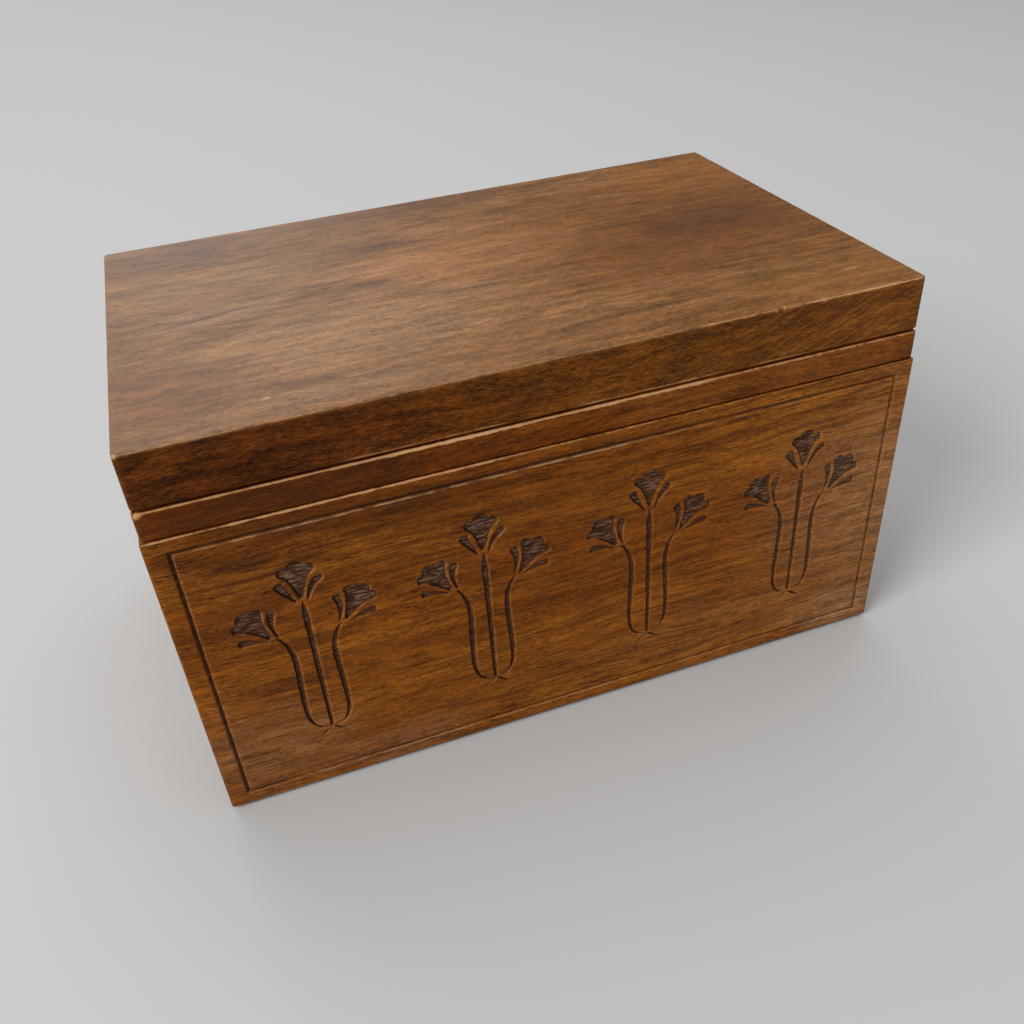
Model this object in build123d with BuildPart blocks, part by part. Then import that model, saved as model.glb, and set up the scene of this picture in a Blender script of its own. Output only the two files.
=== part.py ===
"""A wooden keepsake box with a carved front and a lid that swings on two brass butt hinges.

Sizes are millimetres. X runs along the box, Y from front to back and Z up.
The origin is in the middle of the footprint, on the surface that the box stands on.
"""
from build123d import *

import os
from math import cos, hypot, radians, sin

# Body: four mitred walls round a thin bottom
box_length = 240.0
box_depth = 149.0
body_height = 109.7
wall = 10.0
corner_round = 1.2
foot_round = 2.8
rim_round = 0.9

# Bottom board, held in a groove of the four walls
bottom_thickness = 5.0
bottom_lift = 6.0
groove_depth = 5.0
groove_play = 0.3

# Lid: a thick top board on a thin mitred frame, a little smaller than the body at the ends and front
seam_gap = 0.3
lid_setback = 0.6
frame_height = 9.0
frame_width = 10.0
frame_round = 0.6
top_thickness = 18.0
top_round = 0.9
top_bevel = 1.5

# Bevels at the seam: on the lid all round, on the body along the back, where they meet as the lid's stop
seam_bevel_in = 1.2
seam_bevel_up = 1.5

# Butt hinges
hinge_end_margin = 34.0
hinge_length = 32.0
hinge_inset = 1.2
leaf_reach = 7.4
leaf_thickness = 1.0
leaf_play = 0.1
knuckles = 5
knuckle_gap = 0.3
barrel_radius = 2.0
barrel_clearance = 0.3
pin_radius = 1.0
pin_fit = 0.05
pin_end_bevel = 0.3

# Wood screws of the hinges
screws_per_leaf = 2
screw_spacing = 20.0
screw_setback = 4.8
screw_length = 8.0
screw_radius = 1.0
screw_head_radius = 1.85
screw_tip = 2.0
screw_tip_radius = 0.2
screw_fit = 0.05
slot_width = 0.5
slot_depth = 0.45

# Border line cut into the front
border_side_inset = 6.5
border_foot_inset = 6.6
border_rim_inset = 4.8
border_width = 1.5
border_floor = 0.5
border_depth = 0.8

# Sprigs carved into the front, each of three stems with a scalloped flower
sprigs = 4
sprig_spacing = 55.3
sprig_row_shift = 0.4
sprig_foot = 25.0
sprig_height = 67.4
carving_depth = 0.9
side_flower_tilt = 33.0

# What follows from the sizes above
half_length = box_length / 2
front_face = -box_depth / 2
back_face = box_depth / 2
inner_length = box_length - 2 * wall
inner_depth = box_depth - 2 * wall
lid_base = body_height + seam_gap
lid_length = box_length - 2 * lid_setback
lid_depth = box_depth - lid_setback
lid_centre = lid_setback / 2
top_base = lid_base + frame_height
axis_y = back_face - hinge_inset
axis_z = body_height + seam_gap / 2
hinge_reach = half_length - hinge_end_margin - hinge_length / 2
hinge_centres = [-hinge_reach, hinge_reach]
knuckle_pitch = hinge_length / knuckles
notch_radius = barrel_radius + barrel_clearance
screw_head_depth = screw_head_radius - screw_radius
past_edge = 5.0


def corner_waste(length, depth, centre_y, base, height):
    """The four slivers that fall away when a block's vertical corners are rounded."""
    with BuildPart() as waste:
        with BuildSketch(Plane.XY.offset(base - past_edge)):
            with Locations((0, centre_y)):
                with GridLocations(length, depth, 2, 2):
                    Rectangle(2 * corner_round, 2 * corner_round)
                with GridLocations(length - 2 * corner_round, depth - 2 * corner_round, 2, 2):
                    Circle(corner_round, mode=Mode.SUBTRACT)
        extrude(amount=height + 2 * past_edge)
    return waste.part


def lid_block(base, height, bevel_in, bevel_up, round_radius):
    """A layer of the lid: bevelled along its lower edges, rounded along its upper ones and its corners."""
    with BuildPart() as block:
        with Locations((0, lid_centre, base)):
            Box(lid_length, lid_depth, height, align=(Align.CENTER, Align.CENTER, Align.MIN))
        fillet(faces().sort_by(Axis.Z)[-1].edges(), round_radius)
        underside = faces().sort_by(Axis.Z)[0]
        chamfer(underside.edges(), length=bevel_in, length2=bevel_up, reference=underside)
        add(corner_waste(lid_length, lid_depth, lid_centre, base, height), mode=Mode.SUBTRACT)
    return block.part


def body_ring():
    """The four walls as one ring, before the mitres part them."""
    with BuildPart() as ring:
        Box(box_length, box_depth, body_height, align=(Align.CENTER, Align.CENTER, Align.MIN))
        fillet(faces().sort_by(Axis.Z)[0].edges(), foot_round)
        fillet(faces().sort_by(Axis.Z)[-1].edges(), rim_round)
        add(corner_waste(box_length, box_depth, 0, 0, body_height), mode=Mode.SUBTRACT)
        with BuildSketch(Plane.XY.offset(-past_edge)):
            Rectangle(inner_length, inner_depth)
        extrude(amount=body_height + 2 * past_edge, mode=Mode.SUBTRACT)
        with BuildSketch(Plane.XY.offset(bottom_lift)):
            Rectangle(inner_length + 2 * groove_depth, inner_depth + 2 * groove_depth)
        extrude(amount=bottom_thickness + groove_play, mode=Mode.SUBTRACT)
    return ring.part


def lid_ring():
    """The lid's frame as one ring, before the mitres part it."""
    with BuildPart() as ring:
        add(lid_block(lid_base, frame_height, seam_bevel_in, seam_bevel_up, frame_round))
        with BuildSketch(Plane.XY.offset(lid_base - past_edge)):
            with Locations((0, lid_centre)):
                Rectangle(lid_length - 2 * frame_width, lid_depth - 2 * frame_width)
        extrude(amount=frame_height + 2 * past_edge, mode=Mode.SUBTRACT)
    return ring.part


def mitre_wedge(side, length, depth, centre_y, base, height):
    """The space that one side of a ring fills, bounded by 45 degree planes through its corners."""
    ridge = (length - depth) / 2
    x_out = length / 2 + past_edge
    front_out = centre_y - depth / 2 - past_edge
    back_out = centre_y + depth / 2 + past_edge
    outlines = {
        "front": [(-x_out, front_out), (x_out, front_out), (ridge, centre_y), (-ridge, centre_y)],
        "back": [(-x_out, back_out), (x_out, back_out), (ridge, centre_y), (-ridge, centre_y)],
        "left": [(-x_out, front_out), (-ridge, centre_y), (-x_out, back_out)],
        "right": [(x_out, front_out), (ridge, centre_y), (x_out, back_out)],
    }
    with BuildPart() as wedge:
        with BuildSketch(Plane.XY.offset(base - past_edge)):
            with BuildLine():
                Polyline(*outlines[side], close=True)
            make_face()
        extrude(amount=height + 2 * past_edge)
    return wedge.part


def wall_wedge(side):
    return mitre_wedge(side, box_length, box_depth, 0, 0, body_height)


def rail_wedge(side):
    return mitre_wedge(side, lid_length, lid_depth, lid_centre, lid_base, frame_height)


def leaf_plane(x, y, side):
    """A plane on a leaf's outer face: side 1 is the lid's leaf, facing down, and -1 the body's, facing up."""
    return Plane(origin=(x, y, axis_z + side * seam_gap / 2), z_dir=(0, 0, -side))


def screw_planes(hinge_centre, side):
    first = hinge_centre - screw_spacing * (screws_per_leaf - 1) / 2
    places = [first + screw_spacing * i for i in range(screws_per_leaf)]
    return [leaf_plane(x, axis_y - screw_setback, side) for x in places]


def cut_hinge_seats(side):
    """Cuts each hinge's seat: a shallow recess for the leaf, a round notch for the barrel, and pilot holes."""
    for centre in hinge_centres:
        with Locations(leaf_plane(centre, axis_y, side)):
            Box(
                hinge_length + 2 * leaf_play,
                2 * (leaf_reach + leaf_play),
                leaf_thickness,
                align=(Align.CENTER, Align.CENTER, Align.MAX),
                mode=Mode.SUBTRACT,
            )
        with Locations((centre, axis_y, axis_z)):
            Cylinder(
                notch_radius,
                hinge_length + 2 * barrel_clearance,
                rotation=(0, 90, 0),
                mode=Mode.SUBTRACT,
            )
        with Locations(*screw_planes(centre, side)):
            Hole(screw_radius + screw_fit, depth=screw_length + screw_fit)


def stroke(points):
    """A cut of changing width: points are x, y and half the width there, along the cut's middle line."""
    left = []
    right = []
    for i, (x, y, half_width) in enumerate(points):
        before = points[max(i - 1, 0)]
        after = points[min(i + 1, len(points) - 1)]
        run = after[0] - before[0]
        rise = after[1] - before[1]
        length = hypot(run, rise)
        left.append((x - rise / length * half_width, y + run / length * half_width))
        right.append((x + rise / length * half_width, y - run / length * half_width))
    with BuildSketch() as cut:
        with BuildLine():
            left_edge = Spline(*left)
            right_edge = Spline(*right)
            Line(left_edge @ 0, right_edge @ 0)
            Line(left_edge @ 1, right_edge @ 1)
        make_face()
    return cut.sketch


def turned(point, angle):
    """A point turned about the origin, clockwise for a positive angle in degrees."""
    x, y = point
    a = radians(angle)
    return (x * cos(a) + y * sin(a), y * cos(a) - x * sin(a))


def flower(base, tilt):
    """A scalloped fan of three lobes that opens from its base."""
    def place(x, y):
        px, py = turned((x, y), tilt)
        return (base[0] + px, base[1] + py)

    with BuildSketch() as fan:
        with BuildLine():
            right_side = Spline(place(0.6, -0.2), place(1.5, 2.4), place(2.9, 6.2), place(5.3, 9.0))
            ThreePointArc(right_side @ 1, place(4.9, 11.2), place(2.6, 11.4))
            ThreePointArc(place(2.6, 11.4), place(0, 13.4), place(-2.6, 11.4))
            ThreePointArc(place(-2.6, 11.4), place(-4.9, 11.2), place(-5.3, 9.0))
            left_side = Spline(place(-5.3, 9.0), place(-2.9, 6.2), place(-1.5, 2.4), place(-0.6, -0.2))
            Line(left_side @ 1, right_side @ 0)
        make_face()
    return fan.sketch


def leaf(base, head, head_radius, bend):
    """A small leaf that widens from its base to a round head, its middle bent to the left by bend."""
    run = head[0] - base[0]
    rise = head[1] - base[1]
    length = hypot(run, rise)
    along = (run / length, rise / length)

    def place(distance, sideways):
        return (
            base[0] + along[0] * distance - along[1] * sideways,
            base[1] + along[1] * distance + along[0] * sideways,
        )

    base_half = 0.3
    middle_half = 0.6 * head_radius
    with BuildSketch() as blade:
        with BuildLine():
            left_side = Spline(
                place(0, base_half),
                place(length / 2, bend + middle_half),
                place(length, head_radius),
            )
            ThreePointArc(left_side @ 1, place(length + head_radius, 0), place(length, -head_radius))
            right_side = Spline(
                place(length, -head_radius),
                place(length / 2, bend - middle_half),
                place(0, -base_half),
            )
            Line(right_side @ 1, left_side @ 0)
        make_face()
    return blade.sketch


# One sprig, its foot at the sketch's origin
with BuildSketch() as sprig:
    add(stroke([(0, 0, 0.7), (0, 10, 0.75), (0, 25, 0.95), (0, 42, 1.05), (0, 50, 0.8), (0, 52.6, 0.2)]))
    add(flower((0, 54.0), 0))
    add(leaf((-1.7, 52.6), (-5.6, 59.4), 1.6, 0.0))
    add(leaf((1.7, 52.6), (5.9, 59.8), 1.35, 0.7))
    for side in (-1, 1):
        add(stroke([
            (side * 1.2, 0.1, 0.3),
            (side * 4.1, 1.3, 0.4),
            (side * 6.0, 4.4, 0.65),
            (side * 6.7, 9.5, 0.85),
            (side * 6.5, 18.5, 0.95),
            (side * 6.1, 27.5, 1.0),
            (side * 6.6, 35.2, 0.85),
            (side * 8.2, 39.2, 0.55),
            (side * 9.8, 41.2, 0.25),
        ]))
        add(flower((side * 11.3, 42.0), side * side_flower_tilt))
        add(leaf((side * 9.0, 41.6), (side * 9.7, 50.6), 1.4, -side * 0.9))
        add(leaf((side * 12.0, 40.7), (side * 19.4, 42.7), 1.45, side * 0.3))
        add(stroke([(side * 0.2, -0.2, 0.3), (side * 2.0, -1.5, 0.4), (side * 4.4, -3.0, 0.2)]))

drawn_height = sprig.sketch.bounding_box().max.Y
sprig_places = [sprig_row_shift + sprig_spacing * (i - (sprigs - 1) / 2) for i in range(sprigs)]

# Border line, as a cutter with sloping sides
border_left = -half_length + border_side_inset
border_right = half_length - border_side_inset
border_low = border_foot_inset
border_high = body_height - border_rim_inset
border_size = (border_right - border_left, border_high - border_low)
border_middle = (0, (border_low + border_high) / 2)
front_plane = Plane.XZ.offset(-front_face)
floor_plane = Plane.XZ.offset(-front_face - border_depth)

with BuildPart() as border_cutter:
    with BuildSketch(front_plane):
        with Locations(border_middle):
            Rectangle(border_size[0] + border_width, border_size[1] + border_width)
    with BuildSketch(floor_plane):
        with Locations(border_middle):
            Rectangle(border_size[0] + border_floor, border_size[1] + border_floor)
    loft()
    with BuildSketch(front_plane):
        with Locations(border_middle):
            Rectangle(border_size[0] - border_width, border_size[1] - border_width)
    with BuildSketch(floor_plane):
        with Locations(border_middle):
            Rectangle(border_size[0] - border_floor, border_size[1] - border_floor)
    loft(mode=Mode.SUBTRACT)

# Walls
body_walls = body_ring()

with BuildPart() as front_panel:
    add(body_walls)
    add(wall_wedge("front"), mode=Mode.INTERSECT)
    add(border_cutter.part, mode=Mode.SUBTRACT)
    with BuildSketch(front_plane):
        with Locations(*[(x, sprig_foot) for x in sprig_places]):
            add(scale(sprig.sketch, sprig_height / drawn_height, mode=Mode.PRIVATE))
    extrude(amount=-carving_depth, mode=Mode.SUBTRACT)

with BuildPart() as back_panel:
    add(body_walls)
    add(wall_wedge("back"), mode=Mode.INTERSECT)
    with BuildSketch(Plane.YZ):
        with BuildLine():
            Polyline(
                (back_face - seam_bevel_in, body_height),
                (back_face, body_height - seam_bevel_up),
                (back_face + past_edge, body_height - seam_bevel_up),
                (back_face + past_edge, body_height + past_edge),
                (back_face - seam_bevel_in, body_height + past_edge),
                close=True,
            )
        make_face()
    extrude(amount=box_length, both=True, mode=Mode.SUBTRACT)
    cut_hinge_seats(-1)

with BuildPart() as left_panel:
    add(body_walls)
    add(wall_wedge("left"), mode=Mode.INTERSECT)

with BuildPart() as right_panel:
    add(body_walls)
    add(wall_wedge("right"), mode=Mode.INTERSECT)

with BuildPart() as bottom_panel:
    with BuildSketch(Plane.XY.offset(bottom_lift)):
        Rectangle(
            inner_length + 2 * (groove_depth - groove_play),
            inner_depth + 2 * (groove_depth - groove_play),
        )
    extrude(amount=bottom_thickness)

# Lid
lid_frame = lid_ring()

with BuildPart() as lid_top_board:
    add(lid_block(top_base, top_thickness, top_bevel, top_bevel, top_round))

with BuildPart() as lid_front_rail:
    add(lid_frame)
    add(rail_wedge("front"), mode=Mode.INTERSECT)

with BuildPart() as lid_back_rail:
    add(lid_frame)
    add(rail_wedge("back"), mode=Mode.INTERSECT)
    cut_hinge_seats(1)

with BuildPart() as lid_left_rail:
    add(lid_frame)
    add(rail_wedge("left"), mode=Mode.INTERSECT)

with BuildPart() as lid_right_rail:
    add(lid_frame)
    add(rail_wedge("right"), mode=Mode.INTERSECT)

pieces = {
    "front_panel": front_panel,
    "back_panel": back_panel,
    "left_panel": left_panel,
    "right_panel": right_panel,
    "bottom_panel": bottom_panel,
    "lid_top_board": lid_top_board,
    "lid_front_rail": lid_front_rail,
    "lid_back_rail": lid_back_rail,
    "lid_left_rail": lid_left_rail,
    "lid_right_rail": lid_right_rail,
}

# Hinges: the body's leaf has the outer knuckles, the lid's leaf the ones between
for hinge_name, centre in zip(("left_hinge", "right_hinge"), hinge_centres):
    for leaf_name, side in (("body_leaf", -1), ("lid_leaf", 1)):
        own_knuckles = range(0 if side < 0 else 1, knuckles, 2)
        knuckle_places = [centre + knuckle_pitch * (i - (knuckles - 1) / 2) for i in own_knuckles]
        knuckle_length = knuckle_pitch - knuckle_gap
        leaf_middle = axis_z + side * (seam_gap + leaf_thickness) / 2
        with BuildPart() as hinge_leaf:
            with Locations((centre, axis_y - notch_radius, leaf_middle)):
                Box(
                    hinge_length,
                    leaf_reach - notch_radius,
                    leaf_thickness,
                    align=(Align.CENTER, Align.MAX, Align.CENTER),
                )
            with Locations(*[(x, axis_y, leaf_middle) for x in knuckle_places]):
                Box(
                    knuckle_length,
                    notch_radius,
                    leaf_thickness,
                    align=(Align.CENTER, Align.MAX, Align.CENTER),
                )
            with Locations(*[(x, axis_y, axis_z) for x in knuckle_places]):
                Cylinder(barrel_radius, knuckle_length, rotation=(0, 90, 0))
            with Locations((centre, axis_y, axis_z)):
                Cylinder(
                    pin_radius + pin_fit,
                    hinge_length + past_edge,
                    rotation=(0, 90, 0),
                    mode=Mode.SUBTRACT,
                )
            with Locations(*screw_planes(centre, side)):
                CounterSinkHole(
                    screw_radius + screw_fit,
                    screw_head_radius + screw_fit,
                    depth=leaf_thickness,
                    counter_sink_angle=90,
                )
        pieces[f"{hinge_name}_{leaf_name}"] = hinge_leaf

        with BuildPart() as leaf_screws:
            for plane in screw_planes(centre, side):
                with Locations(plane):
                    Cone(
                        screw_radius,
                        screw_head_radius,
                        screw_head_depth,
                        align=(Align.CENTER, Align.CENTER, Align.MAX),
                    )
                with Locations(plane.offset(-screw_head_depth)):
                    Cylinder(
                        screw_radius,
                        screw_length - screw_head_depth - screw_tip,
                        align=(Align.CENTER, Align.CENTER, Align.MAX),
                    )
                with Locations(plane.offset(screw_tip - screw_length)):
                    Cone(
                        screw_tip_radius,
                        screw_radius,
                        screw_tip,
                        align=(Align.CENTER, Align.CENTER, Align.MAX),
                    )
                with Locations(plane):
                    Box(
                        3 * screw_head_radius,
                        slot_width,
                        slot_depth,
                        align=(Align.CENTER, Align.CENTER, Align.MAX),
                        mode=Mode.SUBTRACT,
                    )
        pieces[f"{hinge_name}_{leaf_name}_screws"] = leaf_screws

    with BuildPart() as hinge_pin:
        with Locations((centre, axis_y, axis_z)):
            Cylinder(pin_radius, hinge_length - knuckle_gap, rotation=(0, 90, 0))
        chamfer(edges().filter_by(GeomType.CIRCLE), pin_end_bevel)
    pieces[f"{hinge_name}_pin"] = hinge_pin

os.makedirs("parts", exist_ok=True)
for name, piece in pieces.items():
    piece.part.label = name
    export_step(piece.part, f"parts/{name}.step")
    print(name, len(piece.part.solids()), "solids", round(piece.part.volume, 1), "mm3")
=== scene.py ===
# %% [markdown]
# # A carved keepsake box
# The box is a small chest of dark red-brown wood with a thick hinged lid. Its construction comes
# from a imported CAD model, with a piece for each board, hinge leaf and pin, and one for the screws
# of each leaf. This lesson keeps that model as a fixed frame and gives it the surfaces of the real
# box. Boards whose worn edges or carving show are made again as finer meshes in the same place.

# %% Load the frame
import bmesh
import bpy
from math import cos, pi, radians, sin
from mathutils import Matrix, Vector, geometry, kdtree, noise


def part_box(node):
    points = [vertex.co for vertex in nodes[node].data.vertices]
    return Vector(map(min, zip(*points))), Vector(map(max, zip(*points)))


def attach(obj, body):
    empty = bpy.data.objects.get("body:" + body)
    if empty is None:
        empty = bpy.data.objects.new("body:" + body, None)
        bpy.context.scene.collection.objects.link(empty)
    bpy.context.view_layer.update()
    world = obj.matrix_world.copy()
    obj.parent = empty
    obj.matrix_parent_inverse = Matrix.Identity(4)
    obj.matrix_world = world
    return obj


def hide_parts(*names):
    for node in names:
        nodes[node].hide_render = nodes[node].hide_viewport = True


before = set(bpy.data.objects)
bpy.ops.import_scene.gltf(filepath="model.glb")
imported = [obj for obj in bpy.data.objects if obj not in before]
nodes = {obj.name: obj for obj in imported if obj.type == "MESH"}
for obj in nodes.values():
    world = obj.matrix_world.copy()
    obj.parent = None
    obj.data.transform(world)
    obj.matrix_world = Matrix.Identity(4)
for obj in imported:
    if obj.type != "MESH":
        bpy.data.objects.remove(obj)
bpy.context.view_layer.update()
MM = 0.001

# %% [markdown]
# ## Camera
# A camera is a place, three axes and a lens. The axes here were worked out from the long edges of
# the box, which meet at vanishing points. Writing the axes as a matrix keeps the small roll of a
# hand-held picture, which a plain look-at helper would lose.

# %% Place the camera
CAMERA_PLACE = Vector((-0.085843, -0.302711, 0.262439))
CAMERA_RIGHT = Vector((0.941981, -0.329748, -0.062758))
CAMERA_UP = Vector((0.241911, 0.537287, 0.807961))
CAMERA_BACK = Vector((-0.232704, -0.776266, 0.585884))
SENSOR_WIDTH, LENS = 36.0, 34.758
camera = bpy.data.objects.new("photo_camera", bpy.data.cameras.new("photo_camera"))
camera.data.sensor_width = SENSOR_WIDTH
camera.data.lens = LENS
camera.data.clip_start = 0.01
camera.matrix_world = Matrix((CAMERA_RIGHT, CAMERA_UP, CAMERA_BACK)).transposed().to_4x4()
camera.matrix_world.translation = CAMERA_PLACE
bpy.context.scene.collection.objects.link(camera)
bpy.context.scene.camera = camera
print("camera", round(CAMERA_PLACE.length, 3), "m from the middle of the foot")

# %% [markdown]
# ## Helpers for shader nodes
# A material is a small network of nodes. Short helpers keep the cells readable. One joins a socket
# or writes a plain value on it, one adds a node beside those that feed it and fills its sockets,
# and the others are one line of arithmetic or one change of a value each.

# %% Node helpers
ORIGIN = (0.0, 0.0, 0.0)


def put(socket, value):
    """Joins a socket to another node's output, or writes a plain value on it."""
    if isinstance(value, bpy.types.NodeSocket):
        socket.id_data.links.new(value, socket)
    else:
        socket.default_value = value


def tree_of(inputs):
    """The node tree that the first socket among some inputs belongs to."""
    sockets = (v for v in inputs.values() if isinstance(v, bpy.types.NodeSocket))
    return next(sockets).id_data


def add(kind, inputs, **settings):
    """Adds a node beside those that feed it, and fills its named or numbered inputs."""
    node = tree_of(inputs).nodes.new("ShaderNode" + kind)
    for name, value in settings.items():
        setattr(node, name, value)
    for key, value in inputs.items():
        put(node.inputs[key], value)
    return node


def sums(operation, *values):
    """The result of a Math node."""
    return add("Math", dict(enumerate(values)), operation=operation).outputs[0]


def times(product, *factors):
    """Numbers multiplied one after another."""
    for factor in factors:
        product = sums("MULTIPLY", product, factor)
    return product


def rest(share):
    """What a share leaves of one."""
    return sums("SUBTRACT", 1.0, share)


def swing(value, size):
    """Noise from 0 to 1 turned into a swing about zero."""
    return times(sums("SUBTRACT", value, 0.5), size)


def slope(value, start, end, low=0.0, high=1.0):
    """A straight slope from start, at the low value, to end, at the high value."""
    return add("MapRange", {0: value, 1: low, 2: high, 3: start, 4: end}).outputs[0]


def ramp(value, low, high, start=0.0, end=1.0):
    """A soft step: start below low, end above high, smooth between."""
    inputs = {0: value, 1: low, 2: high, 3: start, 4: end}
    return add("MapRange", inputs, interpolation_type="SMOOTHSTEP").outputs[0]


print("number helpers ready")

# %% [markdown]
# The next helpers work on places and colours. Textures are laid out in millimetres, so a number in
# them can be compared with a ruler. A noise is drawn out along the grain by dividing the place by a
# length for each axis before the noise is read.

# %% Place and colour helpers
def vectors(operation, *values):
    """The result of a Vector Math node."""
    return add("VectorMath", dict(enumerate(values)), operation=operation).outputs[0]


def length(vector):
    """The length of a vector."""
    return add("VectorMath", {0: vector}, operation="LENGTH").outputs["Value"]


def in_mm(place):
    """A place in metres turned into millimetres."""
    return add("VectorMath", {0: place, "Scale": 1 / MM}, operation="SCALE").outputs[0]


def axes(place):
    """The three numbers of a place."""
    return add("SeparateXYZ", {0: place}).outputs


def stretched(place, lengths, shift=ORIGIN):
    """A place in millimetres divided by a length for each axis."""
    scale = tuple(1.0 / length for length in lengths)
    return add("Mapping", {0: place, 1: shift, 3: scale}).outputs[0]


def cloud(place, detail=2.0, rough=0.5):
    """Soft noise from 0 to 1."""
    inputs = {"Vector": place, "Scale": 1.0, "Detail": detail, "Roughness": rough}
    return add("TexNoise", inputs).outputs[0]


def drawn(place, lengths, shift=ORIGIN, detail=2.0, rough=0.5):
    """Soft noise with a size in millimetres along each axis."""
    return cloud(stretched(place, lengths, shift), detail, rough)


def blend(factor, first, second, way="MIX"):
    """Two colours mixed by a factor."""
    inputs = {0: factor, 6: first, 7: second}
    return add("Mix", inputs, data_type="RGBA", blend_type=way).outputs[2]


def tint(colour, shade, factor=1.0):
    """A colour multiplied by another."""
    return blend(factor, colour, shade, "MULTIPLY")


def grey(value):
    """A plain grey."""
    return (value, value, value, 1.0)


def attribute(place, name):
    """A number kept on the points of the mesh, for the tree of a place."""
    node = place.id_data.nodes.new("ShaderNodeAttribute")
    node.attribute_name = name
    return node.outputs["Fac"]


def as_grey(value):
    """A number from a node turned into a grey."""
    return add("CombineColor", {0: value, 1: value, 2: value}).outputs[0]


print("place and colour helpers ready")

# %% [markdown]
# A node group is an effect with names on its inputs and outputs, so several materials can use it
# with their own values. These helpers make an empty one with its sockets, and place a group in a
# material.

# %% Group helpers
SOCKETS = {"number": "NodeSocketFloat", "place": "NodeSocketVector", "colour": "NodeSocketColor"}


def new_group(name, inputs, outputs):
    """An empty node group; inputs are name: usual value, outputs are name: kind."""
    tree = bpy.data.node_groups.new(name, "ShaderNodeTree")
    for label, value in inputs.items():
        kind = "number" if isinstance(value, float) else "place" if len(value) == 3 else "colour"
        socket = tree.interface.new_socket(label, in_out="INPUT", socket_type=SOCKETS[kind])
        socket.default_value = value
    for label, kind in outputs.items():
        tree.interface.new_socket(label, in_out="OUTPUT", socket_type=SOCKETS[kind])
    return tree, tree.nodes.new("NodeGroupInput").outputs, tree.nodes.new("NodeGroupOutput").inputs


def place_group(group, inputs):
    """Places a group in a material and returns its outputs."""
    node = tree_of(inputs).nodes.new("ShaderNodeGroup")
    node.node_tree = group
    for name, value in inputs.items():
        put(node.inputs[name], value)
    return node.outputs


print("sockets:", ", ".join(SOCKETS))

# %% [markdown]
# ## Grain of the wood
# The boards are an open-grained red-brown wood under thin oil. Up close it is four things on top
# of each other: broad bands of lighter and darker growth, narrow streaks along the board, fine
# fibres, and short dark pore dashes. All four are solid noise, long along the grain and narrow
# across it, so a board's end shows its cut pores as dots with no extra work. A slow waviness
# bends the lines, because a board is never perfectly straight in the tree.

# %% Grain group
grain_group, given, made = new_group(
    "wood_grain",
    {
        "Place": ORIGIN,
        "Body": grey(0.2),
        "Light": grey(0.3),
        "Dark": grey(0.05),
        "Bands": 0.6,
        "Streaks": 0.6,
        "Lines": 0.5,
        "Pores": 0.7,
        "Mottle": 1.0,
    },
    {"Color": "colour", "Texture": "colour", "Height": "number", "Roughness": "number"},
)
millimetres = in_mm(given["Place"])
sway_place = stretched(millimetres, (70.0, 30.0, 30.0))
sway = add("TexNoise", {"Vector": sway_place, "Scale": 1.0, "Detail": 1.0}).outputs["Color"]
sway = vectors("SUBTRACT", sway, (0.5, 0.5, 0.5))
sway = vectors("MULTIPLY", sway, (0.0, 9.0, 9.0))
along = vectors("ADD", millimetres, sway)
band = ramp(drawn(along, (150.0, 13.0, 13.0)), 0.36, 0.66)
streak = drawn(along, (48.0, 2.6, 2.6), (7.0, 3.0, 5.0), 4.0, 0.62)
streak = ramp(streak, 0.46, 0.68)
line = drawn(along, (32.0, 0.55, 0.55), (1.0, 6.0, 2.0), 3.0, 0.6)
line = ramp(line, 0.53, 0.61)
fibre = drawn(along, (2.1, 0.45, 0.45), (2.0, 9.0, 4.0), 3.0, 0.7)
patchy = drawn(along, (14.0, 3.0, 3.0), (6.0, 2.0, 9.0), 3.0, 0.6)
colour = blend(times(band, given["Bands"]), given["Body"], given["Light"])
colour = blend(times(streak, given["Streaks"]), colour, given["Dark"])
colour = blend(times(line, given["Lines"]), colour, given["Dark"])
uneven = sums("ADD", swing(fibre, 2.4), swing(patchy, 1.5))
shade = sums("ADD", 1.0, times(uneven, given["Mottle"]))
colour = tint(colour, as_grey(shade))
print("grain group: bands, streaks and fibres")

# %% [markdown]
# Pores are the cut ends of long vessels. They show as dark dashes a few millimetres long, more of
# them in some bands than in others. A Voronoi texture gives the distance to scattered points, and
# in stretched space each point becomes a slim dash. A long, sparse set and a short, dense set
# together look less regular than one set alone. The Texture output is the same grain as a grey, so
# that a mark of another colour can still show the grain under it.

# %% Pores of the grain group
def dashes(place, lengths, shift, core, edge):
    """A mask that is 1 inside slim dashes around scattered points."""
    inputs = {"Vector": stretched(place, lengths, shift), "Scale": 1.0, "Randomness": 1.0}
    distance = add("TexVoronoi", inputs, feature="F1").outputs["Distance"]
    return ramp(distance, core, edge, 1.0, 0.0)


long_pores = dashes(along, (11.0, 1.0, 1.0), (3.0, 5.0, 1.0), 0.10, 0.24)
short_pores = dashes(along, (3.4, 0.62, 0.62), (8.0, 2.0, 6.0), 0.16, 0.34)
crowd = ramp(drawn(along, (28.0, 5.0, 5.0), (4.0, 1.0, 8.0)), 0.38, 0.62)
pores = sums("MAXIMUM", long_pores, times(short_pores, crowd))
pores = times(pores, given["Pores"])
colour = blend(pores, colour, tint(given["Dark"], grey(0.45)))
marks = sums("MAXIMUM", times(pores, 0.8), times(line, given["Lines"]))
marks = sums("MAXIMUM", marks, times(streak, given["Streaks"], 0.7))
shaded = times(shade, rest(times(marks, 0.75)))
height = sums("SUBTRACT", times(fibre, 0.35), times(pores, 0.8))
put(made["Color"], colour)
put(made["Texture"], as_grey(shaded))
put(made["Height"], height)
put(made["Roughness"], slope(fibre, 0.40, 0.56, 0.2, 0.8))
print("grain group:", len(grain_group.nodes), "nodes")

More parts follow.
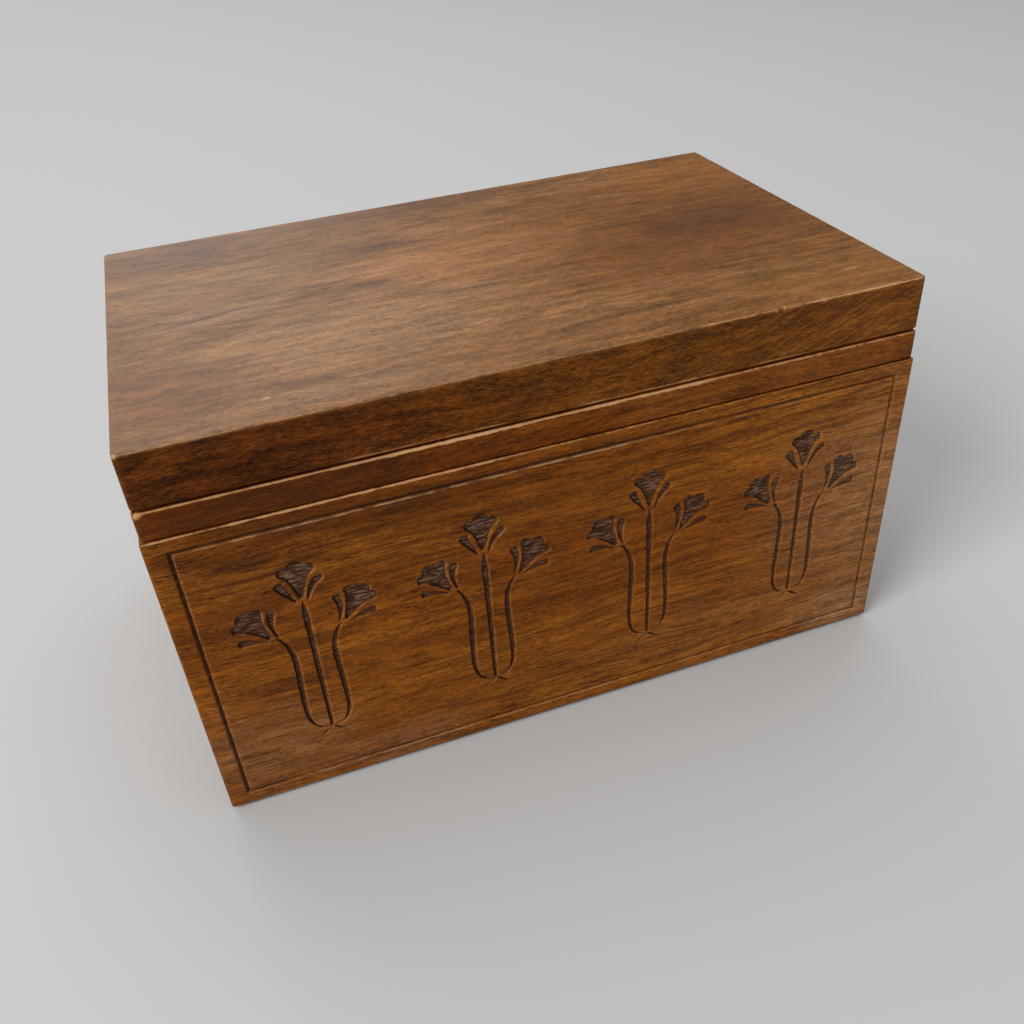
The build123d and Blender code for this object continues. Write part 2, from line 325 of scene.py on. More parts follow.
# %% [markdown]
# ## Worn edges
# Handling rubs the finish off the corners first, so paler wood shows in a thin broken line. A
# point of a board lies on one face, and the distance to the nearest edge is its second smallest
# distance to the board's six faces. Noise breaks the line up.

# %% Edge wear group
wear_group, given, made = new_group(
    "worn_edges",
    {
        "Place": ORIGIN,
        "Low corner": ORIGIN,
        "High corner": (1.0, 1.0, 1.0),
        "Width in mm": 0.7,
        "Amount": 1.0,
    },
    {"Mask": "number"},
)
from_low = vectors("SUBTRACT", given["Place"], given["Low corner"])
from_high = vectors("SUBTRACT", given["High corner"], given["Place"])
parts = axes(vectors("MINIMUM", from_low, from_high))
smaller = sums("MINIMUM", parts[0], parts[1])
larger = sums("MAXIMUM", parts[0], parts[1])
second = sums("MAXIMUM", smaller, sums("MINIMUM", larger, parts[2]))
second = times(second, 1 / MM)
millimetres = in_mm(given["Place"])
broken = ramp(drawn(millimetres, (7.0, 7.0, 7.0), ORIGIN, 4.0, 0.7), 0.40, 0.62)
reach = times(given["Width in mm"], slope(broken, 0.35, 1.3))
line = ramp(rest(sums("DIVIDE", second, reach)), 0.0, 0.55)
mask = times(line, slope(broken, 0.35, 1.0), given["Amount"])
put(made["Mask"], mask)
print("edge wear group:", len(wear_group.nodes), "nodes")

# %% [markdown]
# On the real box the wear isn't the same on every edge. The long front edges are rubbed bright
# along some stretches and hardly at all along others, and their rounds catch the light there. This
# group draws one stretch of one long edge, so each edge can have its own list of stretches, a
# painted highlight together with the wear.

# %% Edge line group
line_group, given, made = new_group(
    "edge_line",
    {
        "Place": ORIGIN,
        "Edge in mm": ORIGIN,
        "From x": -100.0,
        "To x": 100.0,
        "Width in mm": 0.5,
        "Broken": 0.5,
        "Strength": 0.8,
    },
    {"Mask": "number"},
)
millimetres = in_mm(given["Place"])
away = vectors("SUBTRACT", millimetres, given["Edge in mm"])
away = length(vectors("MULTIPLY", away, (0.0, 1.0, 1.0)))
uneven = drawn(millimetres, (4.5, 4.5, 4.5), ORIGIN, 4.0, 0.7)
width = times(given["Width in mm"], slope(uneven, 0.5, 1.5, 0.3, 0.7))
line = ramp(sums("DIVIDE", away, width), 0.55, 1.0, 1.0, 0.0)
along_x = axes(millimetres)[0]
begun = ramp(sums("SUBTRACT", along_x, given["From x"]), -2.0, 5.0)
not_over = ramp(sums("SUBTRACT", given["To x"], along_x), -2.0, 5.0)
holes = times(given["Broken"], ramp(uneven, 0.42, 0.56, 1.0, 0.0))
line = times(line, times(begun, not_over), rest(holes), given["Strength"])
put(made["Mask"], line)
print("edge line group:", len(line_group.nodes), "nodes")

# %% [markdown]
# ## Marks of one board
# Noise gives a wood its kind, but a real board also has marks of its own: a light patch, a dark
# smudge, a reddish cloud. Each is placed as a soft oval with a centre, a half size and a
# turn. Its border is broken by noise drawn out along the grain, so it looks grown, not sprayed.

# %% Soft mark group
# Several lists of marks below paint shade and light into the colour as well as the wood's own
# marks.
mark_group, given, made = new_group(
    "soft_mark",
    {
        "Place": ORIGIN,
        "Centre in mm": ORIGIN,
        "Turn": ORIGIN,
        "Half size in mm": (10.0, 10.0, 10.0),
        "Strength": 0.5,
    },
    {"Mask": "number"},
)
millimetres = in_mm(given["Place"])
oval = {0: millimetres, 1: given["Centre in mm"], 2: given["Turn"], 3: given["Half size in mm"]}
oval_place = add("Mapping", oval, vector_type="TEXTURE").outputs[0]
ragged = drawn(millimetres, (18.0, 2.4, 2.4), (5.0, 4.0, 3.0), 3.0, 0.6)
away = sums("ADD", length(oval_place), swing(ragged, 1.3))
put(made["Mask"], times(ramp(away, 0.15, 1.1, 1.0, 0.0), given["Strength"]))
print("soft mark group:", len(mark_group.nodes), "nodes")

# %% [markdown]
# ## One finish for each board
# Every board is cut from its own place in a tree, so every board gets its own material with its
# own shift of the grain. The grain runs along the board, so for boards that run from front to
# back the places are turned first. A finish is begun with its grain, may get more marks, and is
# closed with one Principled shader.

# %% Begin and close a finish
TURNED = {"X": ORIGIN, "Y": (0.0, 0.0, radians(-90.0))}
GRAIN_INPUTS = ("Body", "Light", "Dark", "Bands", "Streaks", "Lines", "Pores", "Mottle")
BUMP_HEIGHT, SHINE, WAX_ROUGHNESS = 0.00012, 0.08, 0.5


def new_material(name):
    """An empty material, and the socket of the place on the object."""
    material = bpy.data.materials.new(name)
    material.use_nodes = True
    material.node_tree.nodes.clear()
    return material, material.node_tree.nodes.new("ShaderNodeTexCoord").outputs["Object"]


def close_material(material, inputs):
    """Adds the Principled shader and the output."""
    out = material.node_tree.nodes.new("ShaderNodeOutputMaterial")
    put(out.inputs[0], add("BsdfPrincipled", inputs).outputs[0])
    return material


def begin_wood(name, along, shift, colours, amounts=(0.6, 0.5, 0.55, 0.7, 1.0)):
    """Starts a wood material; the returned dictionary carries its sockets to later marks."""
    material, place = new_material(name)
    turned = add("Mapping", {0: place, 1: shift, 2: TURNED[along]}).outputs[0]
    inputs = dict(zip(GRAIN_INPUTS, (*colours, *amounts)))
    grain = place_group(grain_group, {"Place": turned, **inputs})
    finish = {"material": material, "place": place, "colour": grain["Color"]}
    for name in ("Texture", "Height", "Roughness"):
        finish[name.lower()] = grain[name]
    return finish


def close_wood(finish):
    """Joins the sockets to a Principled shader and returns the material."""
    bump = {"Height": finish["height"], "Distance": BUMP_HEIGHT, "Strength": 0.5}
    inputs = {
        "Base Color": finish["colour"],
        "Roughness": finish["roughness"],
        "Normal": add("Bump", bump).outputs[0],
        "Specular IOR Level": SHINE,
        "Coat Weight": finish.get("wax", 0.0),
        "Coat Roughness": WAX_ROUGHNESS,
    }
    return close_material(finish["material"], inputs)


print("grain inputs:", len(GRAIN_INPUTS))

# %% [markdown]
# Between the beginning and the end, a finish takes wear, rubbed edges and marks. Each is laid over
# the colour so far by the mask of its group. A mark is tinted by the grain's own texture, so the
# grain runs on through it.

# %% Wear, lines and marks on a finish
WORN_WOOD = (0.46, 0.24, 0.09, 1.0)
LINE_INPUTS = ("From x", "To x", "Width in mm", "Broken", "Strength")
FRONT_Y, TOP_Z, MARK_REACH = -74, 137, 9


def lay(finish, group, inputs, colour):
    """Lays a colour where the mask of a group says."""
    mask = place_group(group, {"Place": finish["place"], **inputs})["Mask"]
    finish["colour"] = blend(mask, finish["colour"], colour)


def wear_wood(finish, low, high, width, amount):
    """Lays the broken pale line on the edges of the box between two corners."""
    inputs = {"Low corner": low, "High corner": high, "Width in mm": width, "Amount": amount}
    lay(finish, wear_group, inputs, WORN_WOOD)


def line_wood(finish, edge, stretches):
    """Rubs an edge at (y, z), wear with a painted highlight; a stretch is (from x, to x, width,
    broken, strength, colour).
    """
    for *values, colour in stretches:
        inputs = dict(zip(LINE_INPUTS, values))
        lay(finish, line_group, {"Edge in mm": (0.0, *edge), **inputs}, colour)


def mark_wood(finish, marks):
    """Lays soft marks; each is (centre, half size, turn in degrees, colour, strength)."""
    for centre, half_size, turn, colour, strength in marks:
        inputs = {"Centre in mm": centre, "Half size in mm": half_size, "Strength": strength}
        inputs["Turn"] = (0.0, 0.0, radians(turn))
        lay(finish, mark_group, inputs, tint(finish["texture"], colour))


def front_marks(rows, reach=MARK_REACH):
    """Marks on a front face; a row is (x, z, half x, half z, colour, strength)."""
    return [
        ((x, FRONT_Y, z), (half_x, reach, half_z), 0, (*colour[:3], 1.0), strength)
        for x, z, half_x, half_z, colour, strength in rows
    ]


def top_marks(rows):
    """Marks on the top; a row is (x, y, half x, half y, turn in degrees, colour, strength)."""
    return [
        ((x, y, TOP_Z), (half_x, half_y, MARK_REACH), turn, (*colour, 1.0), strength)
        for x, y, half_x, half_y, turn, colour, strength in rows
    ]


print("line inputs:", len(LINE_INPUTS))

# %% [markdown]
# A wood has three colours: its body, its light bands and its dark streaks. The walls and the thin
# rails share one kind of wood, the lid is a browner one, and the hidden bottom is bare wood. A
# shade darkens the plain walls and rails a little, as the front is darkened by its marks and
# painted shade.

# %% Wood colours of the boards
SIDE_DARK = (0.085, 0.020, 0.003, 1.0)
SIDE_WOOD = ((0.245, 0.067, 0.004, 1.0), (0.36, 0.118, 0.010, 1.0), SIDE_DARK)
RAIL_WOOD = ((0.205, 0.054, 0.003, 1.0), (0.28, 0.086, 0.007, 1.0), SIDE_DARK)
LID_WOOD = ((0.205, 0.084, 0.021, 1.0), (0.29, 0.135, 0.046, 1.0), (0.085, 0.028, 0.006, 1.0))
PLAIN_WOOD = ((0.31, 0.165, 0.062, 1.0), (0.40, 0.23, 0.095, 1.0), (0.17, 0.080, 0.030, 1.0))
WALL_SHADE = grey(0.80)
RAIL_SHADE = (0.89, 0.80, 0.55, 1.0)
# Pale colour of rubbed wood, also used for painted highlights on the edges.
RUBBED_AND_LIT = (0.60, 0.31, 0.135, 1.0)
BOARDS = {
    "back_panel": ("X", (0.41, 0.03, 0.22)),
    "left_panel": ("Y", (0.93, 0.21, 0.07)),
    "right_panel": ("Y", (1.37, 0.11, 0.31)),
    "lid_back_rail": ("X", (2.13, 0.17, 0.02)),
    "lid_left_rail": ("Y", (2.57, 0.09, 0.19)),
    "lid_right_rail": ("Y", (2.99, 0.23, 0.29)),
}


def give(node, material):
    """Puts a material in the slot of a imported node."""
    node.material_slots[0].material = material


for name, (along, shift) in BOARDS.items():
    low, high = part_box(name)
    colours, shade = (RAIL_WOOD, RAIL_SHADE) if "rail" in name else (SIDE_WOOD, WALL_SHADE)
    finish = begin_wood(name + "_wood", along, shift, colours)
    finish["colour"] = tint(finish["colour"], shade)
    wear_wood(finish, low, high, 0.45, 0.4)
    give(nodes[name], close_wood(finish))
plain = begin_wood("bottom_wood", "X", (3.31, 0.02, 0.05), PLAIN_WOOD, (0.5, 0.4, 0.4, 0.4, 1.0))
give(nodes["bottom_panel"], close_wood(plain))
print("boards finished:", len(BOARDS) + 1)

# %% [markdown]
# ## Brass of the hinges
# The leaves are rolled sheet, so they carry fine lines along the roll and a dull brown tarnish in
# soft patches. The same brass with less tarnish serves for screws and pins.

# %% Brass group and materials
LEAF_COLOUR = (0.72, 0.52, 0.24, 1.0)
brass_group, given, made = new_group(
    "aged_brass",
    {"Place": ORIGIN, "Clean": LEAF_COLOUR, "Tarnish": (0.30, 0.19, 0.08, 1.0), "Amount": 0.5},
    {"Color": "colour", "Height": "number", "Roughness": "number"},
)
millimetres = in_mm(given["Place"])
patch = ramp(drawn(millimetres, (6.0, 6.0, 6.0), ORIGIN, 5.0, 0.6), 0.35, 0.7)
tarnished = times(patch, given["Amount"])
put(made["Color"], blend(tarnished, given["Clean"], given["Tarnish"]))
put(made["Height"], drawn(millimetres, (14.0, 0.12, 0.12)))
put(made["Roughness"], slope(patch, 0.28, 0.5))
BRASS = {
    "leaf_brass": (LEAF_COLOUR, 0.6),
    "screw_brass": ((0.74, 0.54, 0.26, 1.0), 0.35),
    "pin_brass": ((0.66, 0.48, 0.22, 1.0), 0.45),
}
brass_materials = {}
for name, (clean, tarnish) in BRASS.items():
    material, place = new_material(name + "_finish")
    aged = place_group(brass_group, {"Place": place, "Clean": clean, "Amount": tarnish})
    bump = {"Height": aged["Height"], "Distance": 0.00002, "Strength": 0.4}
    inputs = {"Base Color": aged["Color"], "Roughness": aged["Roughness"], "Metallic": 1.0}
    inputs["Normal"] = add("Bump", bump).outputs[0]
    brass_materials[name] = close_material(material, inputs)
for name, node in nodes.items():
    slot = node.material_slots[0].material.name.split(".")[0]
    if slot in brass_materials:
        give(node, brass_materials[slot])
print("brass pieces:", sum("hinge" in name for name in nodes))

# %% [markdown]
# ## The carved front
# The border and the four sprigs are cut into the front board with knife and gouge. The packed
# panel has these cuts with plain upright walls. Real walls lean, narrow cuts stay shallow, and the
# rims are slightly ragged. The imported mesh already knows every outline, so the way chosen here
# reads the outlines from it, lays rows of points beside them, gives each row its depth, and joins
# all points by a Delaunay triangulation. A displaced grid would need far more faces for the same
# crisp rims. The tool also slipped a little at the feet of the sprigs, and left fine scratches.

# %% Read the outlines of the cuts
NEAR = 2e-6
front_low, front_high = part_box("front_panel")
front_plane = front_low.y
panel = bmesh.new()
panel.from_mesh(nodes["front_panel"].data)
worn_lit_rim_layer = panel.verts.layers.float.new("worn_lit_rim")
stain_and_shade_layer = panel.verts.layers.float.new("stain_and_shade")
bmesh.ops.remove_doubles(panel, verts=panel.verts, dist=1e-6)
flat_faces = dict.fromkeys(
    f for f in panel.faces if all(abs(v.co.y - front_plane) < NEAR for v in f.verts)
)
flat_points = dict.fromkeys(v for f in flat_faces for v in f.verts)
field_x = max(v.co.x for v in flat_points)
field_low = min(v.co.z for v in flat_points)
field_high = max(v.co.z for v in flat_points)


def on_field_edge(v):
    """True for a point on the outer rectangle of the flat front."""
    gaps = (field_x - abs(v.co.x), v.co.z - field_low, field_high - v.co.z)
    return min(gaps) < NEAR


def cut_outlines():
    """Closed lists of (x, z) in mm. Each runs with the cut on its right hand."""
    follow = {}
    for face in flat_faces:
        for corner in face.loops:
            inside = all(other in flat_faces for other in corner.edge.link_faces)
            if not inside and not all(on_field_edge(v) for v in corner.edge.verts):
                follow[corner.vert] = corner.link_loop_next.vert
    loops = []
    while follow:
        start, here = next(iter(follow.items()))
        del follow[start]
        loop = [start]
        while here is not start:
            loop.append(here)
            here = follow.pop(here)
        loops.append([(v.co.x / MM, v.co.z / MM) for v in loop])
    return loops


SCRATCHES = (
    ((-86.3, 21.9), (-88.8, 21.2), (-91.6, 19.9), 0.5),
    ((-79.9, 22.9), (-78.6, 22.0), 0.4),
    ((-74.2, 21.6), (-73.4, 20.6), 0.5),
    ((-23.6, 22.4), (-21.4, 21.7), 0.4),
    ((-31.0, 23.3), (-33.2, 22.4), (-36.0, 21.0), 0.4),
    ((31.3, 22.7), (33.4, 21.9), 0.35),
    ((22.6, 22.2), (20.2, 21.5), 0.35),
    ((87.4, 22.6), (88.8, 21.2), 0.45),
    ((80.3, 23.0), (78.6, 22.2), 0.4),
    ((-6.6, 9.9), (-4.4, 9.0), (-2.6, 8.7), 0.8),
)


def scratch_loop(places, width):
    """A slim leaf along a line of (x, z) places, with the cut on its right hand."""
    places = [Vector(place) for place in places]
    run = (places[-1] - places[0]).normalized()
    across = Vector((-run.y, run.x)) * width / 2
    count = 4 * (len(places) - 1)
    middle = []
    for i in range(1, count):
        share = i / count * (len(places) - 1)
        part = min(int(share), len(places) - 2)
        middle.append((places[part].lerp(places[part + 1], share - part), sin(pi * i / count)))
    upper = [place + across * swell for place, swell in middle]
    lower = [place - across * swell for place, swell in reversed(middle)]
    return [tuple(place) for place in [places[0]] + upper + [places[-1]] + lower]


outlines = cut_outlines()
cut_count = len(outlines)
scratch_hearts = []
for *places, width in SCRATCHES:
    loop = scratch_loop(places, width)
    outlines.append(loop)
    for i in range(2, len(loop) // 2 - 1):
        (x0, z0), (x1, z1) = loop[i], loop[-i]
        scratch_hearts.append(((x0 + x1) / 2, (z0 + z1) / 2))
print("outlines:", cut_count, "scratches:", len(SCRATCHES), "points:", sum(map(len, outlines)))

# %% [markdown]
# A knife leaves a line that wanders by a few hundredths of a millimetre. Each outline is divided
# into short steps, and each point is moved a little by smooth noise. The border is a V-shaped
# groove with sloping sides. The walls of the sprigs that turn away from the window are steep and
# get a painted shadow along their foot, and those that face it are gentle and worn, with a painted
# highlight on their rim. Each has its own table of rows.

# %% Rows of points beside each outline
STEP = 0.42
CARVING_DEPTH = 0.62
BORDER_LENGTH = 200.0
LIT_SIDE = Vector((-0.8, 0.6))
# each row: way into the cut in mm, share of the depth, share of worn rim and painted highlight,
# share of dark stain and painted shadow
BORDER_ROWS = (
    (-0.45, 0.0, 0.0, 0.0),
    (-0.1, 0.0, 0.9, 0.0),
    (0.0, 0.1, 1.0, 0.2),
    (0.22, 0.45, 0.3, 0.7),
    (0.48, 1.0, 0.0, 1.0),
)
STEEP_ROWS = (
    (-0.45, 0.0, 0.0, 0.0),
    (-0.07, 0.0, 0.5, 0.0),
    (0.0, 0.2, 0.5, 0.8),
    (0.1, 0.75, 0.0, 1.3),
    (0.2, 1.0, 0.0, 1.3),
    (0.6, 1.0, 0.0, 0.85),
)
GENTLE_ROWS = (
    (-0.45, 0.0, 0.0, 0.0),
    (-0.08, 0.0, 1.0, 0.0),
    (0.0, 0.12, 1.0, 0.1),
    (0.2, 0.34, 0.3, 0.35),
    (0.55, 0.75, 0.0, 0.65),
    (0.95, 1.0, 0.0, 0.85),
)
SCRATCH_ROWS = ((-0.25, 0.0, 0.0, 0.0), (0.0, 0.0, 0.5, 0.0))


def divided(loop):
    """The loop with long runs divided into steps of about STEP mm."""
    points = []
    for (x0, z0), (x1, z1) in zip(loop, loop[1:] + loop[:1]):
        length = ((x1 - x0) ** 2 + (z1 - z0) ** 2) ** 0.5
        count = max(1, round(length / STEP))
        points += [(x0 + (x1 - x0) * i / count, z0 + (z1 - z0) * i / count) for i in range(count)]
    return points


def into_cut(loop):
    """For each point, the direction into the cut."""
    directions = []
    for i in range(len(loop)):
        before, after = loop[i - 1], loop[(i + 1) % len(loop)]
        along = Vector((after[0] - before[0], after[1] - before[1]))
        along.normalize()
        directions.append(Vector((along.y, -along.x)))
    return directions


def waver(*place):
    """Smooth noise about zero."""
    return noise.noise(Vector(place))


def wander(x, z, size, amount, seed):
    """Smooth noise of a given size in mm."""
    return amount * waver(x / size, seed, z / size)


worn_outlines = []
segments = []
for number, loop in enumerate(outlines):
    loop = divided(loop)
    inward = into_cut(loop)
    is_border = max(x for x, z in loop) - min(x for x, z in loop) > BORDER_LENGTH
    kind = "border" if is_border else "sprig" if number < cut_count else "scratch"
    moved = []
    for (x, z), direction in zip(loop, inward):
        shift = wander(x, z, 2.6, 0.10, 3.3) + wander(x, z, 0.75, 0.11, 8.1)
        moved.append((x + direction.x * shift, z + direction.y * shift))
    worn_outlines.append((kind, moved, inward))
    segments += [(Vector(a), Vector(b)) for a, b in zip(moved, moved[1:] + moved[:1])]
finder = kdtree.KDTree(len(segments))
for index, (a, b) in enumerate(segments):
    finder.insert(((a + b) / 2).to_3d(), index)
finder.balance()


def to_outlines(point):
    """Distance in mm to the nearest outline, looked for within 1 mm."""
    near = 1.0
    for _, index, _ in finder.find_range(point.to_3d(), near):
        a, b = segments[index]
        along = b - a
        share = max(0.0, min(1.0, (point - a).dot(along) / max(along.length_squared, 1e-9)))
        near = min(near, (point - a - along * share).length)
    return near


print("outline steps:", len(segments))

# %% [markdown]
# All points are now laid in one flat list: the edge of the field, a coarse frame inside it, and
# the rows of every outline. A row point is left out where it would come too near another outline,
# which is what keeps narrow stems shallow. The rims carry wear and a painted highlight, brightest
# where they face the window, and duller on the stems than on the flowers.

# %% Join the points into the carved surface
STEM_TOP = 68.0
FRAME_STEP, FRAME_INSET, CLEAR = 2.0, 0.35, 0.1
points, looks, ties = [], [], []
half_width, foot, head = field_x / MM, field_low / MM, field_high / MM


def lay_point(x, z, depth=0.0, worn_lit_rim=0.0, stain_and_shade=0.0):
    """Keeps a point with its depth, its share of worn rim and painted highlight, and its share of
    dark cut and painted shadow.
    """
    points.append((x, z))
    looks.append((depth, worn_lit_rim, stain_and_shade))
    return len(points) - 1


def border_look(x, z, direction, worn_lit_rim):
    """Depth, share of worn rim and painted highlight, and share of stain and painted shade of the
    border groove at a place.
    """
    upright = abs(direction.x)
    # Each side of the border groove gets its own darkness: dark stain and painted shade.
    if upright > 0.5:
        stain_and_shade = 0.72 if x < 0 else 0.3
    else:
        stain_and_shade = 0.35 if z < 50.0 else 0.5 if x < -60.0 else 0.7
    # The lower lips of the border get a painted highlight.
    if direction.y > 0.9:
        worn_lit_rim = 0.45 if x > 20.0 else 1.3 if z > 50.0 else 0.9
    return 0.55 + 0.2 * upright, worn_lit_rim, stain_and_shade


ring = [v for v in flat_points if on_field_edge(v)]
for v in ring:
    lay_point(v.co.x / MM, v.co.z / MM)
for i in range(-59, 60):
    lay_point(i * FRAME_STEP, foot + FRAME_INSET)
    lay_point(i * FRAME_STEP, head - FRAME_INSET)
for i in range(53):
    for side in (-1, 1):
        lay_point(side * (half_width - FRAME_INSET), foot + 1.0 + i * FRAME_STEP)
for kind, moved, inward in worn_outlines:
    first = None
    for (x, z), direction in zip(moved, inward):
        to_light = direction.dot(LIT_SIDE)
        # Rims that face the window get a larger share: wear with a painted highlight.
        worn_lit_rim_share = 0.12 + 0.88 * max(0.0, to_light)
        worn_lit_rim_share *= max(0.35, min(0.9, 0.6 - x / 130.0)) * (0.42 if z < STEM_TOP else 0.7)
        full, stain_and_shade = CARVING_DEPTH, 1.0
        if kind == "border":
            rows = BORDER_ROWS
            full, worn_lit_rim_share, stain_and_shade = border_look(x, z, direction, worn_lit_rim_share)
        elif kind == "scratch":
            rows, full = SCRATCH_ROWS, 0.4
        else:
            rows = GENTLE_ROWS if to_light > 0.2 else STEEP_ROWS
        for inset, share, worn_lit_rim, dark_and_shade in rows:
            spot = Vector((x, z)) + direction * inset
            look = (full * share, worn_lit_rim * worn_lit_rim_share, stain_and_shade * dark_and_shade)
            in_x = abs(spot.x) < half_width - CLEAR
            in_z = foot + CLEAR < spot.y < head - CLEAR
            if inset == 0.0:
                here = lay_point(x, z, *look)
                if first is None:
                    first = here
                else:
                    ties.append((last, here))
                last = here
            elif in_x and in_z and to_outlines(spot) > abs(inset) * 0.93:
                lay_point(spot.x, spot.y, *look)
    ties.append((last, first))
for x, z in scratch_hearts:
    lay_point(x, z, 0.32, 0.0, 0.8)
for first, *_, last, _ in SCRATCHES:
    beyond = (Vector(last) - Vector(first)).normalized() * 0.3
    lay_point(*(Vector(first) - beyond))
    lay_point(*(Vector(last) + beyond))
result = geometry.delaunay_2d_cdt([Vector(p) for p in points], ties, [], 0, 1e-5)
out_points, out_faces, sources = result[0], result[2], result[3]
print("surface:", len(out_points), "points", len(out_faces), "faces")

# %% [markdown]
# The triangulated field now takes the place of the flat front and the plain cuts. Its outer points
# are the panel's own, so the new board is one closed skin. The rim share and the stain share of
# each point are kept on the mesh as attributes. The finish reads them to show paler wood with a
# painted highlight along the cuts, and darker colour with a painted shadow in them.

# %% Build the carved front board
PLAIN_CUT = 1.1 * MM


def in_field(face):
    """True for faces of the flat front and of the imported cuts."""
    return all(
        v.co.y < front_plane + PLAIN_CUT
        and abs(v.co.x) < field_x + NEAR
        and field_low - NEAR < v.co.z < field_high + NEAR
        for v in face.verts
    )


old_faces = [f for f in panel.faces if in_field(f)]
bmesh.ops.delete(panel, geom=old_faces, context="FACES_ONLY")
loose = [v for v in panel.verts if not v.link_faces]
bmesh.ops.delete(panel, geom=loose, context="VERTS")
surface = []
for index, spot in enumerate(out_points):
    source = [s for s in sources[index] if s < len(points)]
    if source and source[0] < len(ring):
        surface.append(ring[source[0]])
        continue
    depth, worn_lit_rim, stain_and_shade = 0.2, 0.5, 0.5
    if source:
        source_depths, source_worn_lit_rims, source_stains_and_shade = zip(*(looks[s] for s in source))
        depth = sum(source_depths) / len(source)
        worn_lit_rim, stain_and_shade = max(source_worn_lit_rims), max(source_stains_and_shade)
    if depth > 0.5:
        depth += wander(spot.x, spot.y, 1.6, 0.05, 5.7)
    depth = max(0.0, depth)
    vertex = panel.verts.new((spot.x * MM, front_plane + depth * MM, spot.y * MM))
    vertex[worn_lit_rim_layer] = worn_lit_rim
    vertex[stain_and_shade_layer] = stain_and_shade
    surface.append(vertex)
for face in out_faces:
    corners = [surface[i] for i in face]
    if len(set(corners)) == len(corners):
        panel.faces.new(corners)
stray = [e for e in panel.edges if not e.link_faces]
bmesh.ops.delete(panel, geom=stray, context="EDGES")


def open_edges(mesh_tool):
    """The number of edges without two faces, which is 0 for a closed skin."""
    return sum(len(e.link_faces) != 2 for e in mesh_tool.edges)


def as_piece(name, mesh_tool, body, material, smooth=35.0):
    """Turns finished mesh work into an object that rides on a body."""
    mesh = bpy.data.meshes.new(name)
    mesh_tool.to_mesh(mesh)
    mesh_tool.free()
    mesh.shade_smooth()
    mesh.set_sharp_from_angle(angle=radians(smooth))
    mesh.materials.append(material)
    piece = bpy.data.objects.new(name, mesh)
    bpy.context.scene.collection.objects.link(piece)
    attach(piece, body)
    return piece


print("open edges:", open_edges(panel), "faces:", len(panel.faces))

# %% [markdown]
# ## Finish of the carved front
# The floors of the cuts never got the light brown of the face. They are a dark grey-brown, with
# fine ridges left by the tool from side to side. The depth below the face tells where the floor
# is. A wave texture would draw ridges as even as corduroy, so noise drawn out sideways is used.

# %% Carved floor group
carved_group, given, made = new_group(
    "carved_floor",
    {"Place": ORIGIN, "Face": 0.0, "Ridge in mm": 0.5},
    {"Depth mask": "number", "Ridges": "number"},
)
depth = times(sums("SUBTRACT", axes(given["Place"])[1], given["Face"]), 1 / MM)
millimetres = in_mm(given["Place"])
ridge_scale = sums("DIVIDE", 1.0, given["Ridge in mm"])
ridge_scale = add("CombineXYZ", {0: 0.28, 1: 0.28, 2: ridge_scale}).outputs[0]
ridges = cloud(vectors("MULTIPLY", millimetres, ridge_scale), 2.0, 0.55)
ridges = ramp(ridges, 0.50, 0.62)
slant = {0: millimetres, 2: (0.0, radians(62.0), 0.0), 3: (0.3, 0.3, 1.9)}
crossing = cloud(add("Mapping", slant).outputs[0])
crossing = ramp(crossing, 0.56, 0.68)
put(made["Depth mask"], ramp(depth, 0.08, 0.40))
put(made["Ridges"], sums("MAXIMUM", ridges, times(crossing, 0.6)))
print("carved floor group:", len(carved_group.nodes), "nodes")

# %% [markdown]
# The front has its own list of marks, partly the board's tone and partly painted light: painted
# shade at the upper left, painted light at the right and along the foot.
# The ridges show only on the floors of the cuts, and less in the stems. The steep walls get the
# darkest colour, a painted shadow, and the rims the palest, wear with a painted highlight.

# %% Dress the carved front
# Dark marks at the upper left are painted shade; pale, greyer marks at the right and foot are
# painted light and sheen.
FRONT_TONE_AND_PAINTED_LIGHT = (
    (-97, 80, 17, 9, (0.130, 0.034, 0.006), 0.55),
    (-56, 97, 18, 1.6, (0.060, 0.018, 0.004), 0.7),
    (116, 55, 26, 62, (0.350, 0.150, 0.050), 0.8),
    (-102, 22, 36, 26, (0.310, 0.135, 0.048), 0.65),
    (-62, 9, 34, 12, (0.250, 0.105, 0.042), 0.6),
    (62, 20, 64, 18, (0.270, 0.108, 0.030), 0.45),
    (88, 12, 18, 6, (0.360, 0.135, 0.025), 0.6),
    (58, 103, 9, 1.2, (0.050, 0.016, 0.004), 0.7),
    (14, 17, 28, 4, (0.140, 0.040, 0.008), 0.4),
    (-62, 112, 112, 32, (0.105, 0.027, 0.003), 0.7),
    (-5, 86, 60, 26, (0.165, 0.041, 0.002), 0.45),
    (100, 58, 42, 52, (0.360, 0.165, 0.060), 0.5),
    (-10, 60, 70, 30, (0.200, 0.050, 0.003), 0.4),
    (-95, 96, 26, 10, (0.090, 0.023, 0.005), 0.45),
    (-28, 107.5, 60, 3.5, (0.270, 0.074, 0.004), 0.35),
    (106, 10, 26, 15, (0.400, 0.205, 0.095), 0.6),
    (-10, 20, 40, 10, (0.165, 0.045, 0.006), 0.4),
    (8, 108, 14, 3, (0.330, 0.100, 0.004), 0.4),
)
